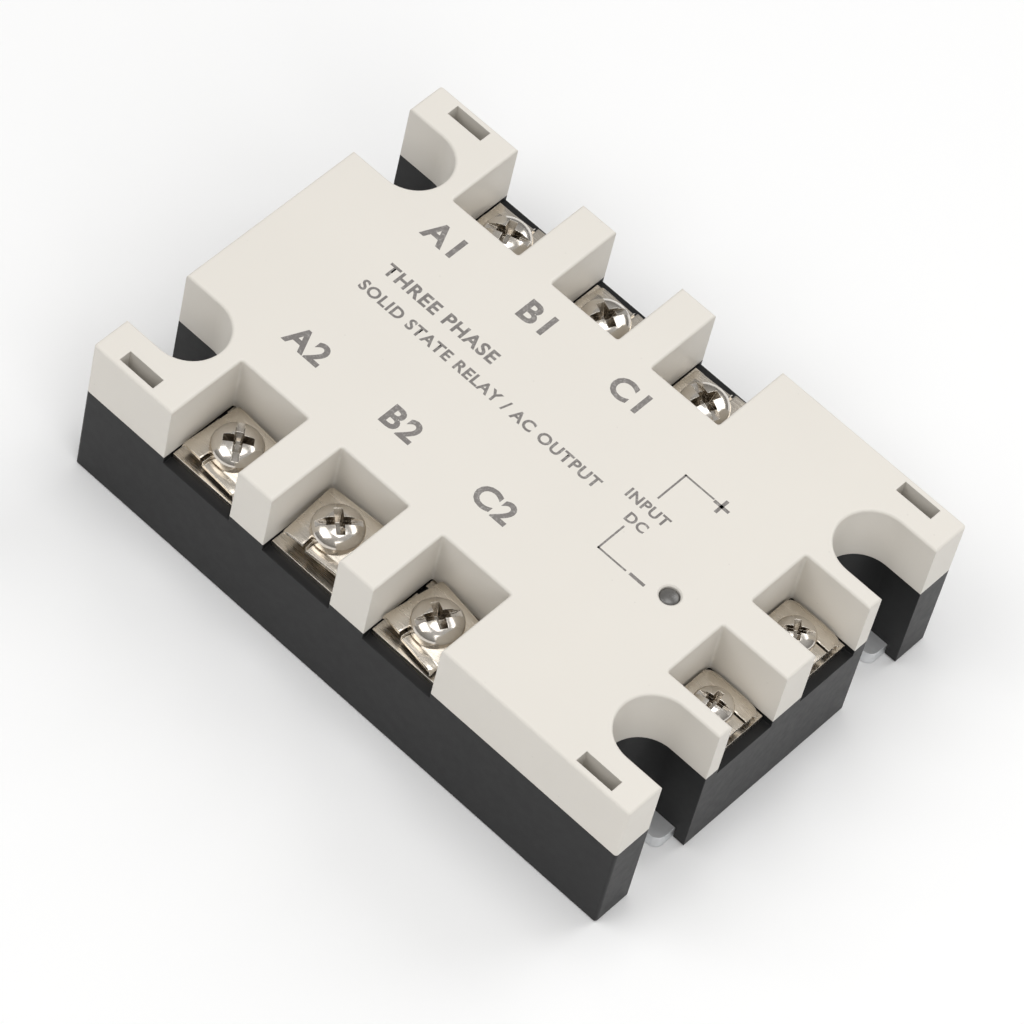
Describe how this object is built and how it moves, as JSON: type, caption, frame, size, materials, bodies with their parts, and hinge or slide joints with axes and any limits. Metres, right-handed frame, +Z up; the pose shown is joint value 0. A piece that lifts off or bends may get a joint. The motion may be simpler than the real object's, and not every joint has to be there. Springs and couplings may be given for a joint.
{
  "type": "solid state relay",
  "caption": "Three-phase solid state relay: black base on an aluminium plate with open mounting slots, cream cover, screw-clamp output bays along the sides and input bays at one end.",
  "frame": {"origin": "middle of the underside of the aluminium plate", "axes": "+X along the housing towards the input terminals, +Y across towards the terminals marked 1, +Z up through the cover"},
  "size_m": [0.105, 0.073, 0.0294],
  "materials": {
    "cream_plastic": "fine matte moulding",
    "black_plastic": "satin moulding",
    "plate_aluminium": "milled",
    "nickel_bar": "nickel-plated brass",
    "nickel_washer": "nickel-plated, pressed",
    "nickel_screw": "nickel-plated, bright",
    "zinc_steel": "zinc-plated",
    "ceramic_white": "copper-faced alumina",
    "chip_silicon": "passivated silicon",
    "tinned_copper": "tinned",
    "resin": "cast",
    "board_green": "solder mask",
    "component_black": "moulded",
    "capacitor_yellow": "boxed film",
    "resistor_tan": "lacquered",
    "lamp_lens": "smoky clear epoxy"
  },
  "bodies": {
    "root": {"base_housing": "black_plastic", "top_cover": "cream_plastic", "base_plate": "plate_aluminium", "potting_resin": "resin", "control_board": "board_green", "output_nuts": "zinc_steel", "input_nuts": "zinc_steel", "gate_resistors": "resistor_tan", "reverse_diode": "component_black", "current_limiter": "component_black", "led_lamp": "lamp_lens", "led_spacer": "component_black", "input_bar_plus": "nickel_bar", "input_bar_minus": "nickel_bar", "terminal_bar_a1": "nickel_bar", "terminal_bar_a2": "nickel_bar", "terminal_bar_b1": "nickel_bar", "terminal_bar_b2": "nickel_bar", "terminal_bar_c1": "nickel_bar", "terminal_bar_c2": "nickel_bar", "ceramic_substrate_a": "ceramic_white", "thyristor_chips_a": "chip_silicon", "chip_straps_a": "tinned_copper", "gate_pins_a": "tinned_copper", "opto_coupler_a": "component_black", "snubber_capacitor_a": "capacitor_yellow", "snubber_resistor_a": "resistor_tan", "ceramic_substrate_b": "ceramic_white", "thyristor_chips_b": "chip_silicon", "chip_straps_b": "tinned_copper", "gate_pins_b": "tinned_copper", "opto_coupler_b": "component_black", "snubber_capacitor_b": "capacitor_yellow", "snubber_resistor_b": "resistor_tan", "ceramic_substrate_c": "ceramic_white", "thyristor_chips_c": "chip_silicon", "chip_straps_c": "tinned_copper", "gate_pins_c": "tinned_copper", "opto_coupler_c": "component_black", "snubber_capacitor_c": "capacitor_yellow", "snubber_resistor_c": "resistor_tan"},
    "clamp_a1": {"clamp_washer_a1": "nickel_washer"},
    "screw_a1": {"terminal_screw_a1": "nickel_screw"},
    "clamp_a2": {"clamp_washer_a2": "nickel_washer"},
    "screw_a2": {"terminal_screw_a2": "nickel_screw"},
    "clamp_b1": {"clamp_washer_b1": "nickel_washer"},
    "screw_b1": {"terminal_screw_b1": "nickel_screw"},
    "clamp_b2": {"clamp_washer_b2": "nickel_washer"},
    "screw_b2": {"terminal_screw_b2": "nickel_screw"},
    "clamp_c1": {"clamp_washer_c1": "nickel_washer"},
    "screw_c1": {"terminal_screw_c1": "nickel_screw"},
    "clamp_c2": {"clamp_washer_c2": "nickel_washer"},
    "screw_c2": {"terminal_screw_c2": "nickel_screw"},
    "clamp_plus": {"input_washer_plus": "nickel_washer"},
    "screw_plus": {"input_screw_plus": "nickel_screw"},
    "clamp_minus": {"input_washer_minus": "nickel_washer"},
    "screw_minus": {"input_screw_minus": "nickel_screw"}
  },
  "joints": [
    {"name": "clamp_lift_a1", "type": "slide", "parent": "root", "child": "clamp_a1", "axis": [0, 0, 1], "range_m": [0, 0.0042]},
    {"name": "screw_turn_a1", "type": "hinge", "parent": "clamp_a1", "child": "screw_a1", "pos_m": [-0.03, 0.0286, 0.0198], "axis": [0, 0, 1], "range_deg": [0, 2160]},
    {"name": "clamp_lift_a2", "type": "slide", "parent": "root", "child": "clamp_a2", "axis": [0, 0, 1], "range_m": [0, 0.0042]},
    {"name": "screw_turn_a2", "type": "hinge", "parent": "clamp_a2", "child": "screw_a2", "pos_m": [-0.03, -0.0286, 0.0198], "axis": [0, 0, 1], "range_deg": [0, 2160]},
    {"name": "clamp_lift_b1", "type": "slide", "parent": "root", "child": "clamp_b1", "axis": [0, 0, 1], "range_m": [0, 0.0042]},
    {"name": "screw_turn_b1", "type": "hinge", "parent": "clamp_b1", "child": "screw_b1", "pos_m": [-0.01, 0.0286, 0.0198], "axis": [0, 0, 1], "range_deg": [0, 2160]},
    {"name": "clamp_lift_b2", "type": "slide", "parent": "root", "child": "clamp_b2", "axis": [0, 0, 1], "range_m": [-0.0014, 0.0028]},
    {"name": "screw_turn_b2", "type": "hinge", "parent": "clamp_b2", "child": "screw_b2", "pos_m": [-0.01, -0.0286, 0.0198], "axis": [0, 0, 1], "range_deg": [-720, 1440]},
    {"name": "clamp_lift_c1", "type": "slide", "parent": "root", "child": "clamp_c1", "axis": [0, 0, 1], "range_m": [0, 0.0042]},
    {"name": "screw_turn_c1", "type": "hinge", "parent": "clamp_c1", "child": "screw_c1", "pos_m": [0.01, 0.0286, 0.0198], "axis": [0, 0, 1], "range_deg": [0, 2160]},
    {"name": "clamp_lift_c2", "type": "slide", "parent": "root", "child": "clamp_c2", "axis": [0, 0, 1], "range_m": [0, 0.0042]},
    {"name": "screw_turn_c2", "type": "hinge", "parent": "clamp_c2", "child": "screw_c2", "pos_m": [0.01, -0.0286, 0.0198], "axis": [0, 0, 1], "range_deg": [0, 2160]},
    {"name": "clamp_lift_plus", "type": "slide", "parent": "root", "child": "clamp_plus", "axis": [0, 0, 1], "range_m": [0, 0.0035]},
    {"name": "screw_turn_plus", "type": "hinge", "parent": "clamp_plus", "child": "screw_plus", "pos_m": [0.0456, 0.009, 0.0197], "axis": [0, 0, 1], "range_deg": [0, 2520]},
    {"name": "clamp_lift_minus", "type": "slide", "parent": "root", "child": "clamp_minus", "axis": [0, 0, 1], "range_m": [0, 0.0035]},
    {"name": "screw_turn_minus", "type": "hinge", "parent": "clamp_minus", "child": "screw_minus", "pos_m": [0.0456, -0.009, 0.0197], "axis": [0, 0, 1], "range_deg": [0, 2520]}
  ],
  "couplings": [
    {"joint": "screw_turn_a1", "follows": "clamp_lift_a1", "rad_per_m": 8975.9},
    {"joint": "screw_turn_a2", "follows": "clamp_lift_a2", "rad_per_m": 8975.9},
    {"joint": "screw_turn_b1", "follows": "clamp_lift_b1", "rad_per_m": 8975.9},
    {"joint": "screw_turn_b2", "follows": "clamp_lift_b2", "rad_per_m": 8975.9},
    {"joint": "screw_turn_c1", "follows": "clamp_lift_c1", "rad_per_m": 8975.9},
    {"joint": "screw_turn_c2", "follows": "clamp_lift_c2", "rad_per_m": 8975.9},
    {"joint": "screw_turn_plus", "follows": "clamp_lift_plus", "rad_per_m": 12566},
    {"joint": "screw_turn_minus", "follows": "clamp_lift_minus", "rad_per_m": 12566}
  ]
}
